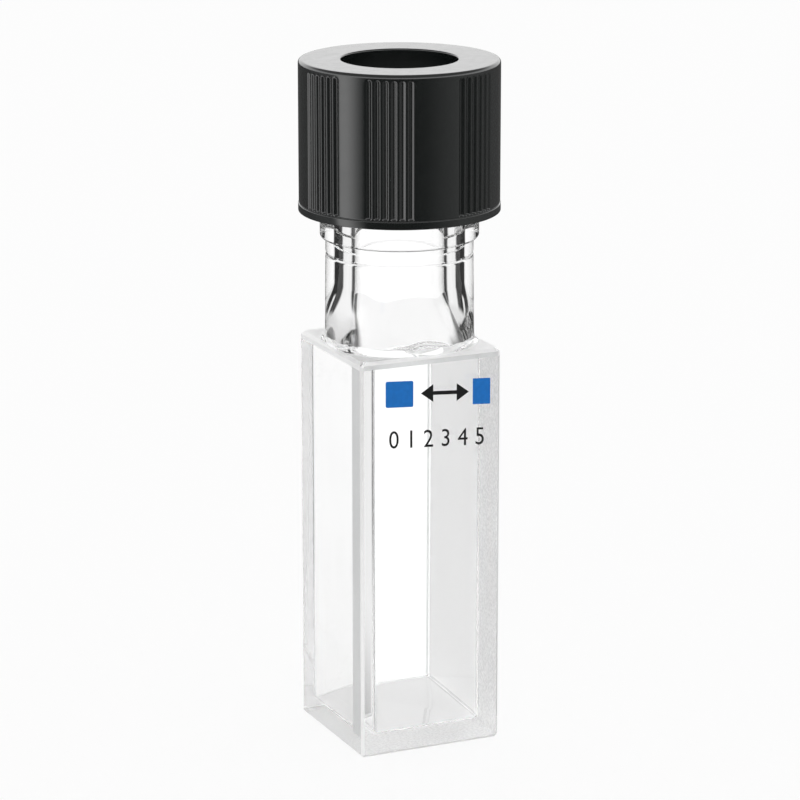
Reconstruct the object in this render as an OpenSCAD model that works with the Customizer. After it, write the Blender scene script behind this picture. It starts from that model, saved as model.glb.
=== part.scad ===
// Screw-cap cell: a square fused-quartz cell for a 10 mm light path, closed by an open-top
// screw cap over a soft disc. Z is up, the origin is the centre of the base, and the front
// window faces -Y. Sizes are in millimetres.

/* [Square body] */
// Outside width of the body, across the two side walls
body_w = 12.5; // [11:0.1:16]
// Height of the square part, from the base to the flat of its shoulder
body_h = 33.6; // [24:0.1:45]
// Distance between the two windows that light crosses
light_path = 10; // [8:0.1:12]
// Thickness of the front and back windows
window_t = 1.25; // [0.9:0.05:1.6]
// Thickness of the left and right side walls
wall_t = 1.4; // [1:0.05:2]
// Thickness of the base plate
base_t = 1.6; // [1:0.05:3]
// Bevel ground along the outer edges of the body
edge_bevel = 0.25; // [0.1:0.05:0.5]

/* [Shoulder and neck] */
// Thickness of the square foot of the neck, which closes the body
shoulder_t = 0.8; // [0.6:0.05:1.5]
// How far the foot of the round neck stays inside the faces of the body
neck_inset = 0.05; // [0:0.05:0.5]
// How much the neck narrows from its foot to the fused seam, on the diameter
neck_taper = 0.3; // [0:0.05:0.6]
// Height of the neck above the shoulder, up to the fused seam
neck_h = 7.6; // [6.5:0.1:12]
// Fillet where the neck meets the shoulder
neck_fillet = 0.4; // [0.2:0.05:0.6]
// Diameter of the round bore
bore_d = 7.3; // [5:0.1:8]
// How far the rounded-square mouth of the bore stays inside the walls of the chamber
mouth_inset = 0.1; // [0.1:0.05:0.6]
// Radius of the mouth's corners
mouth_corner_r = 2.9; // [0.5:0.1:3]
// Height of the straight part of the mouth, above the top of the walls
mouth_h = 1.2; // [0.5:0.1:1.5]
// Height over which the round bore opens into the mouth
bore_flare_h = 4.2; // [3:0.1:4.6]
// Radius of the arc in which the bore opens
bore_flare_r = 5.2; // [4.8:0.1:12]

/* [Threaded finish] */
// Height of the plain band between the seam and the finish's lower edge
finish_neck_h = 1.1; // [0.5:0.1:2]
// Height of the finish from its lower edge to the rim
finish_h = 11.3; // [9.5:0.1:12]
// Rounding of the finish's lower edge
finish_edge_r = 0.5; // [0.2:0.05:0.8]
// Rounding of the rim
rim_r = 0.4; // [0.2:0.05:0.8]

/* [Sealing disc] */
// Thickness of the disc
disc_t = 1.6; // [1:0.1:3]
// Radial room between the disc and the inside of the cap
disc_clear = 0.15; // [0.05:0.05:0.3]

/* [Screw cap] */
// Outside diameter of the ribbed wall
cap_d = 16.4; // [16:0.1:19]
// Thickness of the ribbed wall
cap_wall_t = 1.05; // [0.8:0.05:1.5]
// Radial room between the root of the finish's thread and the inside of the cap
thread_room = 0.65; // [0.5:0.05:0.9]
// Height of the cap
cap_h = 12.4; // [10.5:0.1:13]
// Thickness of the top
cap_top_t = 1.7; // [1.2:0.1:2.5]
// Diameter of the hole in the top
cap_hole_d = 9.5; // [8:0.1:11]
// Rounding of the cap's upper outer edge
cap_edge_r = 0.3; // [0.1:0.05:0.5]
// Bevel round the upper edge of the hole
hole_bevel = 0.12; // [0.05:0.01:0.3]
// Height of the plain band round the cap's lower edge
band_h = 0.65; // [0.4:0.05:1.5]
// How far the band stands out from the ribbed wall
band_proud = 0.05; // [0.02:0.01:0.2]
// Turn of the middle of each group of grooves from the front of the cell, in degrees
group_turns = [24.5, 74, 127, 180, 232.5, 285.5, 330]; // [0:0.5:360]
// Number of grooves in each group
group_grooves = 6; // [3:1:8]
// Angle from one groove to the next, in degrees
groove_step = 4.8; // [4:0.1:6]
// Radius of each round-bottomed groove
groove_r = 0.24; // [0.2:0.01:0.28]
// Depth of each groove
groove_depth = 0.2; // [0.1:0.01:0.2]
// Distance from the band to the lower ends of the grooves
groove_foot_gap = 0.06; // [0.02:0.01:0.5]
// Distance from the upper ends of the grooves to the top of the cap
groove_end_gap = 0.35; // [0.3:0.05:1]

/* [Hidden] */

$fn = 96;
// How far a cutting shape runs past the face it cuts
cut = 1;

body_d = light_path + 2 * window_t;
wall_top = body_h - shoulder_t;
chamber_w = body_w - 2 * wall_t;
seam_z = body_h + neck_h;
finish_z = seam_z + finish_neck_h;
rim_z = finish_z + finish_h;
disc_top = rim_z + disc_t;
cap_top = disc_top + cap_top_t;
cap_z = cap_top - cap_h;
cap_inner_d = cap_d - 2 * cap_wall_t;
disc_d = cap_inner_d - 2 * disc_clear;
// Outside diameter of the finish, at the root of its thread
finish_d = cap_inner_d - 2 * thread_room;
neck_foot_d = min(body_w, body_d) - 2 * neck_inset;
neck_d = neck_foot_d - neck_taper;
mouth_w = min(chamber_w, light_path) - 2 * mouth_inset;

glass = [0.86, 0.93, 0.95, 0.45];
ground_glass = [0.80, 0.86, 0.88, 0.60];
cap_black = [0.11, 0.13, 0.12];
disc_white = [0.93, 0.93, 0.90];

// A rectangle centred on the origin with its corners cut at 45 degrees
module bevelled_rectangle(w, h, bevel) {
    x = w / 2;
    y = h / 2;
    polygon([[-x + bevel, -y], [x - bevel, -y], [x, -y + bevel], [x, y - bevel],
             [x - bevel, y], [-x + bevel, y], [-x, y - bevel], [-x, -y + bevel]]);
}

// The outside of the square body, with all its edges bevelled after fusing
module ground_block() {
    intersection() {
        linear_extrude(body_h) bevelled_rectangle(body_w, body_d, edge_bevel);
        translate([0, body_d / 2, body_h / 2]) rotate([90, 0, 0])
            linear_extrude(body_d) bevelled_rectangle(body_w, body_h, edge_bevel);
        translate([-body_w / 2, 0, body_h / 2]) rotate([90, 0, 90])
            linear_extrude(body_w) bevelled_rectangle(body_d, body_h, edge_bevel);
    }
}

// The share of the ground block that lies between two corners
module plate(low, high) {
    intersection() {
        ground_block();
        translate(low) cube(high - low);
    }
}

// Closes the chamber at the bottom, inside the ring of windows and walls
module base_plate() {
    color(ground_glass)
        plate([-chamber_w / 2, -light_path / 2, -cut], [chamber_w / 2, light_path / 2, base_t]);
}

// A side wall between the windows: side is -1 for the left one and 1 for the right one
module side_wall(side) {
    inner = side * chamber_w / 2;
    outer = side * (body_w / 2 + cut);
    color(ground_glass)
        plate([min(inner, outer), -light_path / 2, -cut],
              [max(inner, outer), light_path / 2, wall_top]);
}

module left_wall() side_wall(-1);

module right_wall() side_wall(1);

// A polished window over the whole width: side is -1 for the front one and 1 for the back one
module window(side) {
    inner = side * light_path / 2;
    outer = side * (body_d / 2 + cut);
    color(glass)
        plate([-body_w / 2 - cut, min(inner, outer), -cut],
              [body_w / 2 + cut, max(inner, outer), wall_top]);
}

module front_window() window(-1);

module back_window() window(1);

// A square of width w centred on the origin, with corners of radius r
module rounded_square(w, r) {
    side = w - 2 * r;
    square([w, side], center = true);
    square([side, w], center = true);
    for (x = [-side / 2, side / 2], y = [-side / 2, side / 2]) translate([x, y]) circle(r);
}

// The flare of the bore: a trumpet that leaves the round bore and ends in the mouth's square
module bore_flare() {
    bore_r = bore_d / 2;
    end_r = bore_r + bore_flare_r - sqrt(pow(bore_flare_r, 2) - pow(bore_flare_h, 2));
    translate([0, 0, wall_top + mouth_h]) intersection() {
        rotate_extrude() {
            difference() {
                square([end_r, bore_flare_h]);
                translate([bore_r + bore_flare_r, bore_flare_h]) circle(bore_flare_r);
            }
            translate([0, -mouth_h - cut]) square([end_r, mouth_h + cut]);
        }
        translate([0, 0, -mouth_h - 2 * cut])
            linear_extrude(mouth_h + bore_flare_h + 3 * cut)
                rounded_square(mouth_w, mouth_corner_r);
    }
}

// The square foot that closes the body, and the round neck that grows out of it
module neck() {
    color(glass) difference() {
        union() {
            plate([-body_w / 2 - cut, -body_d / 2 - cut, wall_top],
                  [body_w / 2 + cut, body_d / 2 + cut, body_h + cut]);
            translate([0, 0, body_h - edge_bevel])
                cylinder(h = edge_bevel + neck_h, d1 = neck_foot_d, d2 = neck_d);
            foot_fillet();
        }
        bore_flare();
        translate([0, 0, wall_top + mouth_h + bore_flare_h])
            cylinder(h = neck_h + shoulder_t, d = bore_d);
    }
}

// Hollow fillet round the foot of the neck, as far as the flat of the shoulder reaches
module foot_fillet() {
    foot_r = neck_foot_d / 2;
    intersection() {
        translate([0, 0, body_h]) rotate_extrude() difference() {
            translate([foot_r - neck_fillet, 0]) square([2 * neck_fillet, neck_fillet]);
            translate([foot_r + neck_fillet, neck_fillet]) circle(neck_fillet);
        }
        linear_extrude(body_h + neck_fillet + cut)
            square([body_w - 2 * edge_bevel, body_d - 2 * edge_bevel], center = true);
    }
}

// The pressed upper part of the neck that carries the thread and the sealing rim
module threaded_finish() {
    color(glass) difference() {
        translate([0, 0, seam_z]) rotate_extrude() {
            square([neck_d / 2, finish_neck_h + finish_edge_r]);
            translate([0, finish_neck_h])
                rounded_edge_profile(finish_d / 2, finish_h, finish_edge_r, rim_r);
        }
        translate([0, 0, seam_z - cut])
            cylinder(h = finish_neck_h + finish_h + 2 * cut, d = bore_d);
    }
}

// Half section of a solid disc of radius r and height h, its lower and upper edges rounded
module rounded_edge_profile(r, h, low_r, high_r) {
    square([r - low_r, h / 2]);
    translate([0, low_r]) square([r, h - low_r - high_r]);
    translate([0, h / 2]) square([r - high_r, h / 2]);
    translate([r - low_r, low_r]) circle(low_r);
    translate([r - high_r, h - high_r]) circle(high_r);
}

// Soft disc on the rim, pressed down by the top of the cap
module sealing_disc() {
    color(disc_white) translate([0, 0, rim_z]) cylinder(h = disc_t, d = disc_d);
}

// One round-bottomed groove of the cap's wall, tapered at its upper end
module groove() {
    tip_r = groove_r / 4;
    taper_h = groove_r;
    straight_h = cap_h - band_h - groove_foot_gap - groove_end_gap - taper_h;
    axis_y = -cap_d / 2 - groove_r + groove_depth;
    translate([0, axis_y, cap_z + band_h + groove_foot_gap]) rotate_extrude()
        polygon([[0, 0], [groove_r, 0], [groove_r, straight_h],
                 [tip_r, straight_h + taper_h], [0, straight_h + taper_h]]);
}

// All the grooves of the cap, in groups with smooth panels between them
module grooves() {
    for (turn = group_turns, i = [0:group_grooves - 1])
        rotate(turn + (i - (group_grooves - 1) / 2) * groove_step) groove();
}

// Moulded cap with an open top, a ribbed wall and a plain band round its lower edge
module screw_cap() {
    color(cap_black) difference() {
        translate([0, 0, cap_z]) rotate_extrude() {
            square([cap_d / 2 - cap_edge_r, cap_h]);
            square([cap_d / 2, cap_h - cap_edge_r]);
            square([cap_d / 2 + band_proud, band_h]);
            translate([cap_d / 2 - cap_edge_r, cap_h - cap_edge_r]) circle(cap_edge_r);
        }
        grooves();
        translate([0, 0, cap_z - cut]) cylinder(h = cap_h - cap_top_t + cut, d = cap_inner_d);
        translate([0, 0, disc_top - cut]) cylinder(h = cap_top_t + 2 * cut, d = cap_hole_d);
        translate([0, 0, cap_top - hole_bevel])
            cylinder(h = 2 * hole_bevel, d1 = cap_hole_d, d2 = cap_hole_d + 4 * hole_bevel);
    }
}

base_plate();
left_wall();
right_wall();
front_window();
back_window();
neck();
threaded_finish();
sealing_disc();
screw_cap();
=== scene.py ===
# Screw-cap cell: a fused-quartz cell with a round threaded neck, a sealing disc and an open-top
# screw cap. The sections follow the object as it is put together, from the glass to the cap.
import math

import bmesh
import bpy
from mathutils import Matrix, Vector


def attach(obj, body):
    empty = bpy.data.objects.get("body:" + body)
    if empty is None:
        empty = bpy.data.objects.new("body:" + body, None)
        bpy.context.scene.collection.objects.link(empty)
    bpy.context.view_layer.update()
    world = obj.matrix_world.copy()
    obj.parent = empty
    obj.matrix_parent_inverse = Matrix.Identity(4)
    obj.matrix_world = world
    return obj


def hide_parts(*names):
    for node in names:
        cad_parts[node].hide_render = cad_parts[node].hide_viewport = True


MM = 0.001

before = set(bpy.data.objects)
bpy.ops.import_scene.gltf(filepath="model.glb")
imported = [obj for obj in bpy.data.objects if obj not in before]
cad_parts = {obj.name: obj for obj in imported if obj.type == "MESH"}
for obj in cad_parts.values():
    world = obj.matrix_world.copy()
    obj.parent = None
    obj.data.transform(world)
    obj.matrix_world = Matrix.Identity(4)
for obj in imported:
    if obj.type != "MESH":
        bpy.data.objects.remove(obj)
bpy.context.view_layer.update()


# The camera stands to the left of the printed window and a little above it, with a long lens.
camera_turn = math.radians(-24.57)
camera_rise = math.radians(15.02)
camera_reach = 296.1 * MM
camera_aim = Vector((0.04, -0.02, 28.39)) * MM
camera_back = Vector((
    math.sin(camera_turn) * math.cos(camera_rise),
    -math.cos(camera_turn) * math.cos(camera_rise),
    math.sin(camera_rise),
))
camera = bpy.data.objects.new("camera", bpy.data.cameras.new("camera"))
camera.data.lens = 161.27
camera.data.sensor_width = 36.0
camera.data.clip_start = 0.01
camera.location = camera_aim + camera_back * camera_reach
camera.rotation_euler = (-camera_back).to_track_quat("-Z", "Y").to_euler()
bpy.context.scene.collection.objects.link(camera)
bpy.context.scene.camera = camera


# The glass cell. Plates of fused quartz are cut, ground and polished, then fused in a furnace with
# a flame-worked neck, so that the glass is one body. The windows and the left side are polished,
# and the right side, the base, the shoulder and the edges keep a fine ground surface. The edge
# strips, two fused corner lines and the front-right bevel are also greyed with painted shade.
corners = 128           # corners of every ring round the axis
side_corners = corners // 4
bend_steps = 6          # steps from the middle of a rounded corner to its end


def add_piece(name, bm, *materials):
    """Turns a finished bmesh into an object whose sharp edges stay sharp under smooth shading."""
    mesh = bpy.data.meshes.new(name)
    bm.to_mesh(mesh)
    bm.free()
    for polygon in mesh.polygons:
        polygon.use_smooth = True
    mesh.set_sharp_from_angle(angle=math.radians(32))
    for material in materials:
        mesh.materials.append(material)
    piece = bpy.data.objects.new(name, mesh)
    bpy.context.scene.collection.objects.link(piece)
    return piece


def round_spot(turn, radius, z):
    """A corner of a round ring, in millimetres. turn counts the corners of the ring."""
    angle = 2 * math.pi * (turn + 0.5) / corners - 3 * math.pi / 4
    return Vector((radius * math.cos(angle), radius * math.sin(angle), z))


def square_spot(turn, half_x, half_y, corner, z):
    """A corner of a rectangular ring whose own corners are cut away by corner."""
    side, place = divmod(turn, side_corners)
    share = 2 * place / (side_corners - 1) - 1
    if side == 0:
        spot = (share * (half_x - corner), -half_y)
    elif side == 1:
        spot = (half_x, share * (half_y - corner))
    elif side == 2:
        spot = (-share * (half_x - corner), half_y)
    else:
        spot = (-half_x, -share * (half_y - corner))
    return Vector((spot[0], spot[1], z))


def soft_square_spot(turn, half_x, half_y, radius, z):
    """A corner of a rectangular ring with round corners, each in a few steps."""
    side, place = divmod(turn, side_corners)
    centre_x, centre_y = half_x - radius, half_y - radius
    straight_end = side_corners - bend_steps
    if bend_steps <= place < straight_end:
        share = 2 * (place - bend_steps) / (straight_end - bend_steps - 1) - 1
        spots = (
            (share * centre_x, -half_y),
            (half_x, share * centre_y),
            (-share * centre_x, half_y),
            (-half_x, -share * centre_y),
        )
        return Vector((spots[side][0], spots[side][1], z))
    # the round ends of the side: an arc of 45 degrees on each
    if place < bend_steps:
        corner = side
        bend = -(bend_steps - place - 0.5) / bend_steps * 45
    else:
        corner = side + 1
        bend = (place - straight_end + 0.5) / bend_steps * 45
    angle = math.radians(-90 + side * 90 + bend)
    sign_x, sign_y = ((-1, -1), (1, -1), (1, 1), (-1, 1))[corner % 4]
    return Vector((
        sign_x * centre_x + radius * math.cos(angle),
        sign_y * centre_y + radius * math.sin(angle),
        z,
    ))


def quarter_turn(steps):
    """The angles from 0 to 90 degrees at which a rounded edge has its rings, in radians."""
    return [math.pi / 2 * step / steps for step in range(steps + 1)]


def start_ring(bm, turn_layer, spot, count=corners, filled=True):
    """A closed ring of corners, from which a wall is drawn out."""
    made = bmesh.ops.create_circle(bm, cap_ends=filled, radius=1, segments=count)
    for turn, vert in enumerate(made["verts"]):
        vert[turn_layer] = turn
        vert.co = spot(turn) * MM
    return list(dict.fromkeys(edge for vert in made["verts"] for edge in vert.link_edges))


def draw_out(bm, turn_layer, ring, spot):
    """Draws a wall out from a ring of edges, and sets each new corner where spot says."""
    made = bmesh.ops.extrude_edge_only(bm, edges=ring)["geom"]
    new = dict.fromkeys(item for item in made if isinstance(item, bmesh.types.BMVert))
    for vert in new:
        vert.co = spot(vert[turn_layer]) * MM
    edges = dict.fromkeys(edge for vert in new for edge in vert.link_edges)
    return [edge for edge in edges if edge.verts[0] in new and edge.verts[1] in new]


body_half = 6.25
body_top = 33.6
bevel = 0.25
foot_radius = 6.12
foot_fillet = 0.65
foot_margin = 0.06
taper_radius, taper_z = 6.09, 37.4
neck_radius = 6.05
seam_z = 40.98
seam_depth, seam_half = 0.09, 0.2
seam_bend, bend_share = 0.09, 0.35      # where the seam's wall bends, and how deep it is there
collar_z = 42.3
collar_fillet = 0.1
collar_round = 0.28
hold = 0.04             # a ring this close by keeps the wall beside an edge even
finish_radius = 6.5
rim_z = 53.6
rim_round = 0.4
bore_radius = 3.65
mouth_half = 4.85
mouth_corner = 3.4
chamber_x = 4.85
chamber_y = 5.0
floor_z = 1.6
ceiling_z = 32.8
flare_low = 33.95
flare_height = 4.4
flare_law = 1.5         # above 1, the flare opens ever faster on its way down
flare_top = flare_low + flare_height
flare_steps = 24
bead_height = 0.5
bead_rise = 0.03
bead_steps = 8
inner_fillet = 0.3
wall_fillet = 0.45
strip_low, strip_high = 1.75, 32.95
thread_pitch = 2.5
thread_height = 0.5
thread_low, thread_high = 45.6, 52.2
thread_crest, thread_flank = 0.25, 0.55
thread_fade = 0.9
thread_step = 0.16
plain_end, rings_start = 44.2, 44.4     # the plain wall ends, and the thread's close rings begin
bore_end = flare_top + 1


def shoulder_border(turn):
    """Where the flat of the shoulder ends: at the bevel, or at the neck where that stands out."""
    spot = round_spot(turn, 1, 0)
    reach = (body_half - bevel) / max(abs(spot.x), abs(spot.y))
    reach = max(reach, foot_radius + foot_margin)
    out = reach * max(abs(spot.x), abs(spot.y)) - (body_half - bevel)
    return Vector((reach * spot.x, reach * spot.y, body_top - max(0, out)))


def foot_spot(turn, angle):
    """A corner of the fused fillet round the foot of the neck, from its edge up to the wall."""
    border = shoulder_border(turn)
    width = min(foot_fillet, math.hypot(border.x, border.y) - foot_radius)
    height = border.z + (body_top + foot_fillet - border.z) * (1 - math.cos(angle))
    return round_spot(turn, foot_radius + width * (1 - math.sin(angle)), height)


def thread_rise(turn, z):
    """How far the thread stands out of the finish at this corner and height."""
    lap = (z - thread_low) / thread_pitch
    share = turn / corners
    nearest = round(lap - share)
    height_off = abs(lap - share - nearest) * thread_pitch
    ridge = max(0, 1 - max(0, height_off - thread_crest) / thread_flank)
    run = (nearest + share) * thread_pitch + thread_low
    fade = min(1, max(0, (run - thread_low) / thread_fade))
    fade *= min(1, max(0, (thread_high - run) / thread_fade))
    return thread_height * fade * (ridge * ridge * (3 - 2 * ridge))


bm = bmesh.new()
turn_layer = bm.verts.layers.int.new("turn")
inset = body_half - bevel

ring = start_ring(bm, turn_layer, lambda t: square_spot(t, inset, inset, 0, 0))
ring = draw_out(bm, turn_layer, ring, lambda t: square_spot(t, body_half, body_half, bevel, bevel))
for height in (strip_low, strip_high, body_top - bevel):
    ring = draw_out(
        bm, turn_layer, ring, lambda t: square_spot(t, body_half, body_half, bevel, height))
ring = draw_out(bm, turn_layer, ring, shoulder_border)
for angle in quarter_turn(8):
    ring = draw_out(bm, turn_layer, ring, lambda t: foot_spot(t, angle))

neck_outline = [
    (taper_radius, taper_z),
    (neck_radius, seam_z - seam_half - hold),
    (neck_radius, seam_z - seam_half),
    (neck_radius - bend_share * seam_depth, seam_z - seam_bend),
    (neck_radius - seam_depth, seam_z),
    (neck_radius - bend_share * seam_depth, seam_z + seam_bend),
    (neck_radius, seam_z + seam_half),
    (neck_radius, seam_z + seam_half + hold),
    (neck_radius, collar_z - collar_fillet - hold),
    (neck_radius, collar_z - collar_fillet),
    (neck_radius + 0.3 * collar_fillet, collar_z - 0.3 * collar_fillet),
    (neck_radius + collar_fillet, collar_z),
]
neck_outline += [
    (finish_radius - collar_round * (1 - math.sin(angle)),
     collar_z + collar_round * (1 - math.cos(angle)))
    for angle in quarter_turn(7)]
neck_outline.append((finish_radius, plain_end))
for radius, z in neck_outline:
    ring = draw_out(bm, turn_layer, ring, lambda t: round_spot(t, radius, z))
z = rings_start
while z < thread_high + thread_fade:
    ring = draw_out(
        bm, turn_layer, ring, lambda t: round_spot(t, finish_radius + thread_rise(t, z), z))
    z += thread_step
rim_outline = [
    (finish_radius - rim_round * (1 - math.cos(angle)), rim_z - rim_round * (1 - math.sin(angle)))
    for angle in quarter_turn(6)]
rim_outline += [
    (bore_radius + rim_round * (1 - math.sin(angle)), rim_z - rim_round * (1 - math.cos(angle)))
    for angle in quarter_turn(6)]
rim_outline.append((bore_radius, bore_end))
for radius, z in rim_outline:
    ring = draw_out(bm, turn_layer, ring, lambda t: round_spot(t, radius, z))


def square_reach(turn, half, corner):
    """How far a rounded square reaches in the direction of a corner of a round ring."""
    spot = round_spot(turn, 1, 0)
    x, y = abs(spot.x), abs(spot.y)
    middle = half - corner
    if min(x, y) * half <= middle * max(x, y):
        return half / max(x, y)
    across = (x + y) * middle
    return across + math.sqrt(max(0, across ** 2 - 2 * middle ** 2 + corner ** 2))


def flare_spot(turn, share):
    """A corner of the bore's flare, which opens ever faster to a rounded square."""
    square = square_reach(turn, mouth_half, mouth_corner)
    reach = bore_radius + (square - bore_radius) * share ** flare_law
    return round_spot(turn, reach, flare_top - flare_height * share)


def bead_spot(turn, share):
    """A corner of the low bead of fused glass that runs round the mouth below the flare."""
    reach = square_reach(turn, mouth_half, mouth_corner) - bead_rise * math.sin(math.pi * share)
    return round_spot(turn, reach, flare_low - bead_height * share)


for step in range(flare_steps + 1):
    ring = draw_out(bm, turn_layer, ring, lambda t: flare_spot(t, step / flare_steps))
for step in range(1, bead_steps + 1):
    ring = draw_out(bm, turn_layer, ring, lambda t: bead_spot(t, step / bead_steps))
ring = draw_out(
    bm, turn_layer, ring,
    lambda t: round_spot(t, square_reach(t, mouth_half, mouth_corner), ceiling_z))
ring = draw_out(
    bm, turn_layer, ring,
    lambda t: soft_square_spot(t, chamber_x, chamber_y, wall_fillet, ceiling_z))
for angle in quarter_turn(4):
    half_x = chamber_x - inner_fillet * (1 - math.cos(angle))
    half_y = chamber_y - inner_fillet * (1 - math.cos(angle))
    height = floor_z + inner_fillet * (1 - math.sin(angle))
    ring = draw_out(
        bm, turn_layer, ring,
        lambda t: soft_square_spot(t, half_x, half_y, wall_fillet, height))
bmesh.ops.edgeloop_fill(bm, edges=ring)
bmesh.ops.remove_doubles(bm, verts=bm.verts, dist=1e-7)
bmesh.ops.recalc_face_normals(bm, faces=bm.faces)

# the third finish is ground glass with a grey tone of painted shade, for edge strips, bevels and
# fused lines that look darker in the light
CLEAR, GROUND, EDGE_SHADE = range(3)
slack, near = 0.01, 0.1
strip_y = 4.4


def glass_finish(x, y, z, level):
    """The finish of a face, from its middle in millimetres and from whether it lies level; the
    grey edge finish among them is painted shade.
    """
    on_side = body_half - slack
    past_flat = inset + slack
    outside = max(abs(x), abs(y)) > inset
    on_top = level and abs(z - body_top) < near
    on_ceiling = level and abs(z - ceiling_z) < near / 2
    front_band = y < -on_side and strip_high < z < body_top - bevel
    top_band = outside and strip_high < z < body_top and not front_band
    left_bevel = x < -past_flat and y < -past_flat
    if x > on_side or z < bevel or on_top or on_ceiling or left_bevel or top_band:
        return GROUND
    right_bevel = x > past_flat and y < -past_flat
    strip = x < -on_side and y < -strip_y
    # two of the chamber's round corners show the line along which the plates are fused, drawn as a
    # dark line of painted shade
    across, along = abs(x) - (chamber_x - wall_fillet), abs(y) - (chamber_y - wall_fillet)
    in_corner = min(across, along) > near and abs(across - along) < near
    fused_line_shade = in_corner and max(abs(x), abs(y)) < chamber_y + near and x * y > 0
    if front_band or (strip_low < z < strip_high and (fused_line_shade or right_bevel or strip)):
        return EDGE_SHADE
    return CLEAR


for face in bm.faces:
    face.material_index = glass_finish(
        *(face.calc_center_median() / MM), abs(face.normal.z) > 0.9)


def new_material(name):
    """A node material with an empty Principled shader, and its node tree."""
    material = bpy.data.materials.new(name)
    material.use_nodes = True
    return material, material.node_tree, material.node_tree.nodes["Principled BSDF"]


def add_noise(tree, scale, detail):
    """Noise over the piece itself, as a socket."""
    noise = tree.nodes.new("ShaderNodeTexNoise")
    noise.inputs["Scale"].default_value = scale
    noise.inputs["Detail"].default_value = detail
    place = tree.nodes.new("ShaderNodeTexCoord")
    tree.links.new(place.outputs["Object"], noise.inputs["Vector"])
    return noise.outputs["Fac"]


def spread_noise(tree, noise, edge, levels, socket):
    """Feeds a socket with a level between two, spread over the noise from edge to 1 - edge."""
    node = tree.nodes.new("ShaderNodeMapRange")
    node.inputs["From Min"].default_value = edge
    node.inputs["From Max"].default_value = 1 - edge
    node.inputs["To Min"].default_value, node.inputs["To Max"].default_value = levels
    tree.links.new(noise, node.inputs["Value"])
    tree.links.new(node.outputs["Result"], socket)


def two_tones(tree, noise, dark, light):
    """A colour that wanders between two tones with the noise."""
    tone = tree.nodes.new("ShaderNodeValToRGB")
    for element, position, colour in zip(tone.color_ramp.elements, (0.3, 0.7), (dark, light)):
        element.position = position
        element.color = (*colour, 1)
    tree.links.new(noise, tone.inputs["Fac"])
    return tone.outputs["Color"]


def add_bump(tree, shader, noise, strength, distance):
    """A faint unevenness of the surface that follows the noise. distance is in millimetres."""
    bump = tree.nodes.new("ShaderNodeBump")
    bump.inputs["Strength"].default_value = strength
    bump.inputs["Distance"].default_value = distance * MM
    tree.links.new(noise, bump.inputs["Height"])
    tree.links.new(bump.outputs["Normal"], shader.inputs["Normal"])


quartz_index = 1.46
clear_glass, tree, shader = new_material("polished_quartz")
shader.inputs["Base Color"].default_value = (1, 1, 1, 1)
shader.inputs["Roughness"].default_value = 0.0
shader.inputs["IOR"].default_value = quartz_index
shader.inputs["Transmission Weight"].default_value = 1.0

ground_glass, tree, shader = new_material("ground_quartz")
shader.inputs["Base Color"].default_value = (1, 1, 1, 1)
shader.inputs["Roughness"].default_value = 0.4
shader.inputs["IOR"].default_value = quartz_index
grains = add_noise(tree, 4200, 3)
spread_noise(tree, grains, 0.35, (0.2, 0.4), shader.inputs["Transmission Weight"])

# the ground edges: the same ground glass, with a grey base colour that is painted shade
shaded_edge_glass = ground_glass.copy()
shaded_edge_glass.name = "ground_edge_painted_shade"
shaded_edge_shader = shaded_edge_glass.node_tree.nodes["Principled BSDF"]
shaded_edge_shader.inputs["Base Color"].default_value = (0.74, 0.75, 0.75, 1)

cell = add_piece("glass_cell", bm, clear_glass, ground_glass, shaded_edge_glass)
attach(cell, "cell")
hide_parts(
    "base_plate", "left_wall", "right_wall", "front_window", "back_window", "neck",
    "threaded_finish")


# The print on the front window. Ceramic colour is screened onto the polished face and fired, so
# it stands hardly out of the glass: two blue fields, a double arrow and a row of plain figures.
window_y = -body_half
print_thickness = 0.012
print_gap = 0.002       # keeps the print's back clear of the glass
print_slope, level_x = -0.0714, 0.5
left_field, right_field = (-4.08, -1.63), (3.70, 5.28)
field_low, field_high = 29.37, 31.55
arrow_left, arrow_right, arrow_z = -0.95, 3.35, 30.46
head_length, head_half, shaft_half = 1.1, 0.74, 0.16
figure_left, figure_pitch = -3.35, 1.54
figure_low, figure_height, figure_squeeze = 25.95, 1.45, 0.92


def print_colour(name, colour):
    """Fired ceramic colour: slightly uneven in tone, with a faint grain."""
    material, tree, shader = new_material(name)
    shader.inputs["Roughness"].default_value = 0.5
    shader.inputs["Specular IOR Level"].default_value = 0.25
    screen = add_noise(tree, 2600, 4)
    dark, light = [0.93 * part for part in colour], [1.06 * part for part in colour]
    tree.links.new(two_tones(tree, screen, dark, light), shader.inputs["Base Color"])
    add_bump(tree, shader, screen, 0.15, 0.01)
    return material


def print_shape(bm, outline):
    """A flat printed shape on the front window, from its outline in x and z."""
    bm.faces.new([bm.verts.new((x, window_y - print_thickness, z)) for x, z in outline])


def rounded_outline(left, right, low, high, radius, steps=5):
    """The outline of a rectangle with round corners, anticlockwise."""
    outline = []
    for x, z, start in (
            (right - radius, low + radius, -90), (right - radius, high - radius, 0),
            (left + radius, high - radius, 90), (left + radius, low + radius, 180)):
        for step in range(steps + 1):
            angle = math.radians(start + 90 * step / steps)
            outline.append((x + radius * math.cos(angle), z + radius * math.sin(angle)))
    return outline


def print_figure(bm, figure, centre_x):
    """A plain printed figure, from the outline of a letter in the plain font."""
    letter = bpy.data.curves.new("figure", "FONT")
    letter.body = figure
    stand_in = bpy.data.objects.new("figure", letter)
    flat = bpy.data.meshes.new_from_object(stand_in)
    xs = [vert.co.x for vert in flat.vertices]
    ys = [vert.co.y for vert in flat.vertices]
    size = figure_height / (max(ys) - min(ys))
    flat.transform(
        Matrix.Translation((centre_x, window_y - print_thickness, figure_low))
        @ Matrix.Rotation(math.pi / 2, 4, "X")
        @ Matrix.Diagonal((figure_squeeze * size, size, size, 1))
        @ Matrix.Translation((-(max(xs) + min(xs)) / 2, -min(ys), 0)))
    bm.from_mesh(flat)
    bpy.data.objects.remove(stand_in)
    bpy.data.curves.remove(letter)
    bpy.data.meshes.remove(flat)


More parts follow.
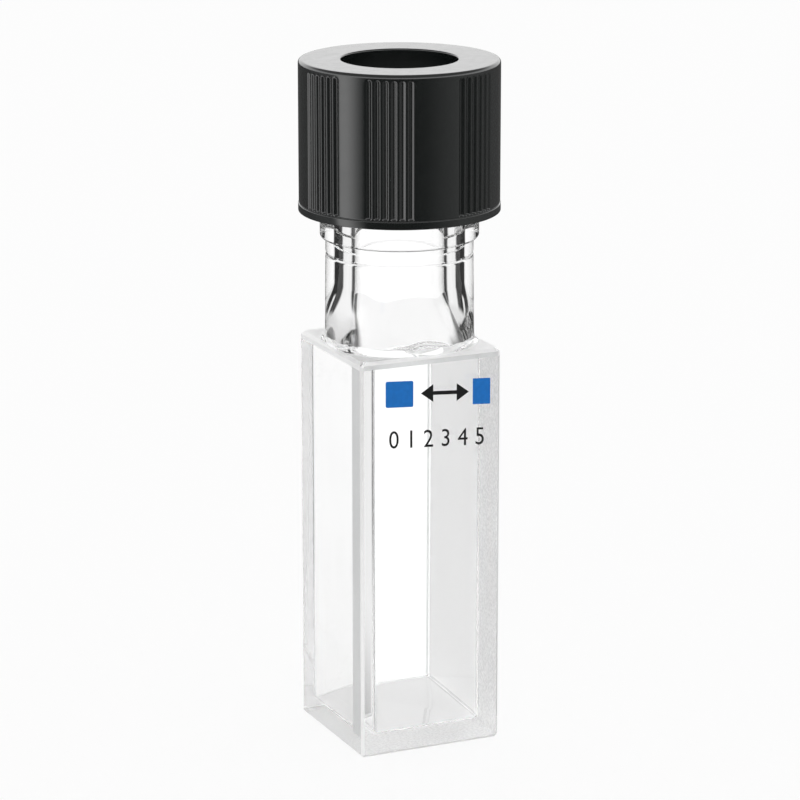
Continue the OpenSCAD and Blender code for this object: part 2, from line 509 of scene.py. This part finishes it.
def add_print(name, bm, ink):
    """Sets the printed shapes askew as the screen was, and closes them down to the glass."""
    for vert in bm.verts:
        vert.co.z += print_slope * (vert.co.x - level_x)
    made = bmesh.ops.extrude_face_region(bm, geom=list(bm.faces))["geom"]
    backs = [item for item in made if isinstance(item, bmesh.types.BMVert)]
    bmesh.ops.translate(bm, verts=backs, vec=(0, print_thickness - print_gap, 0))
    bmesh.ops.remove_doubles(bm, verts=bm.verts, dist=1e-5)
    bmesh.ops.scale(bm, verts=bm.verts, vec=(MM, MM, MM))
    bmesh.ops.recalc_face_normals(bm, faces=bm.faces)
    piece = add_piece(name, bm, ink)
    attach(piece, "cell")


bm = bmesh.new()
print_shape(bm, rounded_outline(*left_field, field_low, field_high, 0.14))
print_shape(bm, rounded_outline(*right_field, field_low, field_high, 0.06))
add_print("blue_fields", bm, print_colour("print_blue", (0.0055, 0.155, 0.52)))

bm = bmesh.new()
head_left, head_right = arrow_left + head_length, arrow_right - head_length
lower = [
    (arrow_left, 0), (head_left, -head_half), (head_left, -shaft_half),
    (head_right, -shaft_half), (head_right, -head_half), (arrow_right, 0)]
upper = [(x, -off) for x, off in lower[-2:0:-1]]
print_shape(bm, [(x, arrow_z + off) for x, off in lower + upper])
for place, figure in enumerate("012345"):
    print_figure(bm, figure, figure_left + figure_pitch * place)
add_print("black_print", bm, print_colour("print_black", (0.008, 0.008, 0.0085)))


# The sealing disc, punched from a sheet of soft dark rubber with a thin white facing underneath.
# It lies loose on the rim, facing down, and the cap presses it down.
facing_top = 53.8

disc_rubber, tree, shader = new_material("disc_rubber")
shader.inputs["Roughness"].default_value = 0.62
mottle = add_noise(tree, 900, 6)
height = tree.nodes.new("ShaderNodeSeparateXYZ")
tree.links.new(tree.nodes.new("ShaderNodeTexCoord").outputs["Object"], height.inputs[0])
faced = tree.nodes.new("ShaderNodeMath")
faced.operation = "LESS_THAN"
tree.links.new(height.outputs["Z"], faced.inputs[0])
faced.inputs[1].default_value = facing_top * MM
rubber = two_tones(tree, mottle, (0.02, 0.021, 0.021), (0.032, 0.034, 0.034))
facing = two_tones(tree, mottle, (0.8, 0.8, 0.78), (0.88, 0.88, 0.86))
layers = tree.nodes.new("ShaderNodeMix")
layers.data_type = "RGBA"
tree.links.new(faced.outputs[0], layers.inputs["Factor"])
tree.links.new(rubber, layers.inputs[6])
tree.links.new(facing, layers.inputs[7])
tree.links.new(layers.outputs[2], shader.inputs["Base Color"])
add_bump(tree, shader, mottle, 0.25, 0.05)
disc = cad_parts["sealing_disc"]
disc.data.materials.clear()
disc.data.materials.append(disc_rubber)


# The screw cap, injection-moulded in black plastic. Groups of shallow upright grooves give a
# grip, with smooth panels between them. The top is open in the middle, and the thread is inside.
cap_radius = 8.2
cap_inner_radius = 7.15
cap_low, cap_ceiling, cap_top = 44.5, 55.2, 56.9
cap_round = 0.3
hole_radius = 4.75
hole_round, hole_bevel = 0.12, 0.1      # at the top of the hole and at its foot
wall_hold, hole_hold = 0.05, 0.03       # rings this close by keep the walls beside edges even
lip_width, lip_height = 0.2, 0.25
foot_round, foot_inset = 0.08, 0.1
band_top = 45.15
band_proud = 0.05
# from the band's edge to the fine line sunk in above it: out of the wall, and up from band_top
band_edge = (
    (band_proud, -0.06), (band_proud, -0.04), (band_proud - 0.01, -0.015), (band_proud - 0.03, 0),
    (-0.01, 0.003), (-0.035, 0.012), (-0.04, 0.03), (-0.035, 0.05), (-0.01, 0.08), (0, 0.12))
groove_groups = (24.5, 74, 127, 180, 232.5, 285.5, 330)
grooves_each = 6
groove_pitch = 4.8
groove_width = 0.64
groove_depth = 0.17
groove_low, groove_high = 45.2, 56.55
groove_foot, groove_arch = 0.16, 0.32
foot_end, arch_start = groove_low + groove_foot, groove_high - groove_arch
arch_steps = 8
groove_corners = 14
panel_corners = 10
cap_thread_height = 0.45
cap_thread_low, cap_thread_high = 45.9, 52.6
cap_thread_crest, cap_thread_flank = 0.12, 0.4
thread_wall_step, plain_wall_step = 0.18, 1.1   # between the rings of the inner wall
wall_margin = 0.1

cap_turns = []
half_group = grooves_each / 2 * groove_pitch
for group, following in zip(groove_groups, groove_groups[1:] + (groove_groups[0] + 360,)):
    count = grooves_each * groove_corners
    cap_turns += [group - half_group + 2 * half_group * step / count for step in range(count)]
    panel = following - group - 2 * half_group
    cap_turns += [
        group + half_group + panel * step / panel_corners for step in range(panel_corners)]


def groove_offset(turn):
    """Distance from the middle of the nearest groove, as a share of half a groove's width."""
    offsets = []
    for group in groove_groups:
        place = ((turn - group + 180) % 360 - 180) / groove_pitch + (grooves_each - 1) / 2
        groove = min(grooves_each - 1, max(0, round(place)))
        off = abs(place - groove) * math.radians(groove_pitch) * cap_radius
        offsets.append(off / (groove_width / 2))
    return min(offsets)


groove_offsets = [groove_offset(turn) for turn in cap_turns]


def cap_spot(corner, radius, z):
    """A corner of a plain ring of the cap, in millimetres."""
    angle = math.radians(cap_turns[corner] - 90)
    return Vector((radius * math.cos(angle), radius * math.sin(angle), z))


def ribbed_spot(corner, radius, z):
    """A corner of the cap's outer wall, sunk into the grooves."""
    below, above = (foot_end - z) / groove_foot, (z - arch_start) / groove_arch
    beyond = max(0, below, above)
    reach = min(1, math.hypot(groove_offsets[corner], beyond))
    return cap_spot(corner, radius - groove_depth * (1 + math.cos(math.pi * reach)) / 2, z)


def inner_spot(corner, z):
    """A corner of the cap's inner wall, with the thread standing out of it."""
    share = ((cap_turns[corner] + 45) / 360 - 0.5 / corners) % 1
    lap = (z - thread_low) / thread_pitch - 0.5
    nearest = round(lap - share)
    height_off = abs(lap - share - nearest) * thread_pitch
    ridge = min(1, max(0, 1 - (height_off - cap_thread_crest) / cap_thread_flank))
    run = (nearest + share + 0.5) * thread_pitch + thread_low
    fade = min(1, max(0, run - cap_thread_low)) * min(1, max(0, cap_thread_high - run))
    rise = cap_thread_height * fade * ridge * ridge * (3 - 2 * ridge)
    return cap_spot(corner, cap_inner_radius - rise, z)


bm = bmesh.new()
turn_layer = bm.verts.layers.int.new("turn")
lip = (cap_inner_radius + lip_width, cap_low)
ring = start_ring(bm, turn_layer, lambda c: cap_spot(c, *lip), len(cap_turns), False)
proud_radius = cap_radius + band_proud
outline = [(proud_radius - foot_inset, cap_low)]
outline += [
    (proud_radius - foot_round * (1 - math.sin(angle)),
     cap_low + foot_round * (1 - math.cos(angle)))
    for angle in quarter_turn(4)[1:]]
outline += [(cap_radius + out, band_top + up) for out, up in band_edge]
outline += [(cap_radius, z) for z in (
    foot_end - groove_foot / 4, foot_end, foot_end + wall_hold, arch_start - wall_hold)]
outline += [
    (cap_radius, arch_start + groove_arch * step / arch_steps) for step in range(arch_steps + 1)]
for radius, z in outline:
    ring = draw_out(bm, turn_layer, ring, lambda c: ribbed_spot(c, radius, z))
outline = [
    (cap_radius - cap_round * (1 - math.cos(angle)), cap_top - cap_round * (1 - math.sin(angle)))
    for angle in quarter_turn(9)]
outline += [
    (cap_radius - cap_round - wall_hold, cap_top), (hole_radius + hole_round + hole_hold, cap_top)]
outline += [
    (hole_radius + hole_round * (1 - math.sin(angle)),
     cap_top - hole_round * (1 - math.cos(angle)))
    for angle in quarter_turn(6)]
outline += [
    (hole_radius, cap_top - hole_round - hole_hold),
    (hole_radius, cap_ceiling + hole_bevel + hole_hold),
    (hole_radius, cap_ceiling + hole_bevel),
    (hole_radius + hole_bevel, cap_ceiling),
    (hole_radius + hole_bevel + wall_hold, cap_ceiling),
    (cap_inner_radius - wall_hold, cap_ceiling),
    (cap_inner_radius, cap_ceiling)]
for radius, z in outline:
    ring = draw_out(bm, turn_layer, ring, lambda c: cap_spot(c, radius, z))
z = cap_ceiling - wall_margin
while z > cap_low + lip_height + wall_margin:
    ring = draw_out(bm, turn_layer, ring, lambda c: inner_spot(c, z))
    z -= plain_wall_step if z > rim_z else thread_wall_step
ring = draw_out(
    bm, turn_layer, ring, lambda c: cap_spot(c, cap_inner_radius, cap_low + lip_height))
ring = draw_out(bm, turn_layer, ring, lambda c: cap_spot(c, *lip))
bmesh.ops.remove_doubles(bm, verts=bm.verts, dist=1e-7)
bmesh.ops.recalc_face_normals(bm, faces=bm.faces)

cap_plastic, tree, shader = new_material("cap_plastic")
shader.inputs["Base Color"].default_value = (0.0055, 0.0075, 0.007, 1)
shader.inputs["IOR"].default_value = 1.5
shader.inputs["Specular IOR Level"].default_value = 1.0
moulding = add_noise(tree, 1400, 5)
spread_noise(tree, moulding, 0.3, (0.15, 0.2), shader.inputs["Roughness"])
add_bump(tree, shader, moulding, 0.06, 0.02)

cap = add_piece("ribbed_cap", bm, cap_plastic)
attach(cap, "cap")
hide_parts("screw_cap")


# The studio: a pale floor and white surroundings. Round glass and glossy plastic pick up upright
# white panels with dark cards between them, set up to suit the camera.
def feed(tree, sockets, values):
    """Gives each socket its value, which is another socket or a number."""
    for socket, value in zip(sockets, values):
        if isinstance(value, bpy.types.NodeSocket):
            tree.links.new(value, socket)
        else:
            socket.default_value = value


def link_math(tree, operation, first, second=0.0, third=0.0, clamp=False):
    """Adds a Math node and gives back its output. Each input is a socket or a number."""
    node = tree.nodes.new("ShaderNodeMath")
    node.operation = operation
    node.use_clamp = clamp
    feed(tree, node.inputs, (first, second, third))
    return node.outputs[0]


def mix_levels(tree, share, first, second):
    """A level that goes from first to second as share goes from 0 to 1."""
    node = tree.nodes.new("ShaderNodeMix")
    node.data_type = "FLOAT"
    feed(tree, (node.inputs[0], node.inputs[2], node.inputs[3]), (share, first, second))
    return node.outputs[0]


def soft_step(tree, value, low, high):
    """0 at low, 1 at high and smooth between them."""
    node = tree.nodes.new("ShaderNodeMapRange")
    node.interpolation_type = "SMOOTHSTEP"
    tree.links.new(value, node.inputs["Value"])
    node.inputs["From Min"].default_value = low
    node.inputs["From Max"].default_value = high
    return node.outputs["Result"]


def level_by_angle(tree, angle, stops):
    """Brightness by an angle in degrees from -180 to 180, read from (angle, level) stops."""
    ramp = tree.nodes.new("ShaderNodeValToRGB")
    top = max(level for _, level in stops)
    elements = ramp.color_ramp.elements
    for index, (degrees, level) in enumerate(stops):
        place = degrees / 360 + 0.5
        if index < 2:
            element = elements[index]
            element.position = place
        else:
            element = elements.new(place)
        element.color = (level / top, level / top, level / top, 1)
    place = link_math(tree, "MULTIPLY_ADD", angle, 0.5 / math.pi, 0.5)
    tree.links.new(place, ramp.inputs[0])
    return link_math(tree, "MULTIPLY", ramp.outputs[0], top)


world = bpy.data.worlds.new("studio")
bpy.context.scene.world = world
world.use_nodes = True
tree = world.node_tree
path = tree.nodes.new("ShaderNodeLightPath")
turned = tree.nodes.new("ShaderNodeVectorRotate")
turned.rotation_type = "Z_AXIS"
turned.inputs["Angle"].default_value = -(math.pi / 2 + camera_turn)
tree.links.new(tree.nodes.new("ShaderNodeTexCoord").outputs["Generated"], turned.inputs["Vector"])
direction = tree.nodes.new("ShaderNodeSeparateXYZ")
tree.links.new(turned.outputs[0], direction.inputs[0])
away, left, up = direction.outputs
# the turn from straight away from the camera, in radians and to the right
turn = link_math(tree, "ARCTAN2", link_math(tree, "MULTIPLY", left, -1.0), away)

seen_direct = level_by_angle(tree, turn, [
    (-180, 0.95), (-49, 0.95), (-46, 0.03), (-35, 0.03), (-32, 1), (32, 1), (35, 0.03),
    (46, 0.03), (49, 0.6), (90, 0.6), (120, 0.95), (180, 0.95)])
seen_direct = mix_levels(tree, soft_step(tree, up, 0.25, 0.35), seen_direct, 0.04)
seen_inside = level_by_angle(tree, turn, [
    (-180, 0.6), (-120, 0.5), (-100, 0.04), (-63, 0.04), (-58, 0.95), (-31, 0.95), (-25, 0.012),
    (25, 0.012), (31, 0.95), (58, 0.95), (63, 0.04), (100, 0.04), (118, 0.9), (150, 0.9),
    (180, 0.6)])
seen_outside = level_by_angle(tree, turn, [
    (-180, 0.05), (-141, 0.07), (-132, 0.7), (-128, 1.1), (-122, 1.6), (-118, 1.85),
    (-107, 1.85), (-103, 0.6), (-100, 0.3), (-80, 0.28), (-54, 0.14), (-25, 0.1), (0, 0.12),
    (30, 0.12), (60, 0.22), (80, 0.3), (106, 0.34), (130, 0.21), (150, 0.08), (164, 0.05),
    (180, 0.05)])
above = mix_levels(tree, soft_step(tree, up, 0.35, 0.6), 1.6, 0.3)
seen_outside = mix_levels(tree, soft_step(tree, up, 0.0, 0.06), seen_outside, above)
# light that leaves upwards, or that has gone back and forth in a flat wall, comes out pale
upwards = link_math(
    tree, "MULTIPLY", soft_step(tree, up, 0.0, 0.08), soft_step(tree, up, 0.5, 0.4))
straight_on = soft_step(tree, link_math(tree, "ABSOLUTE", turn), 0.11, 0.05)
upwards = link_math(tree, "MULTIPLY", upwards, straight_on)
seen_inside = mix_levels(tree, upwards, seen_inside, 0.9)
often = link_math(tree, "GREATER_THAN", path.outputs["Glossy Depth"], 1.5)
seen_inside = mix_levels(tree, link_math(tree, "MULTIPLY", often, straight_on), seen_inside, 0.88)
# round edges and sloped glass turn it to the white floor or to the pale upper part of the room
seen_inside = mix_levels(tree, soft_step(tree, up, -0.38, -0.46), seen_inside, 0.88)
seen_inside = mix_levels(tree, soft_step(tree, up, 0.3, 0.45), seen_inside, 0.8)
reflected, through, scattered = [
    link_math(tree, "MINIMUM", path.outputs[f"{kind} Depth"], 1.0)
    for kind in ("Glossy", "Transmission", "Diffuse")]
level = mix_levels(
    tree, reflected, seen_direct, mix_levels(tree, through, seen_outside, seen_inside))
level = mix_levels(tree, path.outputs["Is Camera Ray"], level, 1.0)
level = mix_levels(tree, scattered, level, mix_levels(tree, through, 0.95, 2.25))
background = tree.nodes["Background"]
background.inputs["Color"].default_value = (1, 1, 1, 1)
tree.links.new(level, background.inputs["Strength"])

bm = bmesh.new()
bmesh.ops.create_circle(bm, cap_ends=True, radius=3.0, segments=64)
bmesh.ops.translate(bm, verts=bm.verts, vec=(0, 0, -0.02 * MM))
floor_white, tree, shader = new_material("floor_white")
shader.inputs["Base Color"].default_value = (0.9, 0.9, 0.9, 1)
shader.inputs["Roughness"].default_value = 0.9
path = tree.nodes.new("ShaderNodeLightPath")
glow = tree.nodes.new("ShaderNodeEmission")
lit = tree.nodes.new("ShaderNodeMixShader")
straight = link_math(
    tree, "ADD", path.outputs["Is Camera Ray"], path.outputs["Is Transmission Ray"], clamp=True)
tree.links.new(link_math(tree, "MULTIPLY", straight, 0.85), lit.inputs["Fac"])
tree.links.new(shader.outputs[0], lit.inputs[1])
tree.links.new(glow.outputs[0], lit.inputs[2])
clear = tree.nodes.new("ShaderNodeBsdfTransparent")
shown = tree.nodes.new("ShaderNodeMixShader")
tree.links.new(
    link_math(tree, "MINIMUM", path.outputs["Glossy Depth"], 1.0), shown.inputs["Fac"])
tree.links.new(lit.outputs[0], shown.inputs[1])
tree.links.new(clear.outputs[0], shown.inputs[2])
tree.links.new(shown.outputs[0], tree.nodes["Material Output"].inputs["Surface"])
floor = add_piece("floor", bm, floor_white)

bpy.context.scene.cycles.max_bounces = 24
bpy.context.scene.cycles.glossy_bounces = 12
bpy.context.scene.cycles.transmission_bounces = 24
bpy.context.scene.view_settings.view_transform = "Standard"
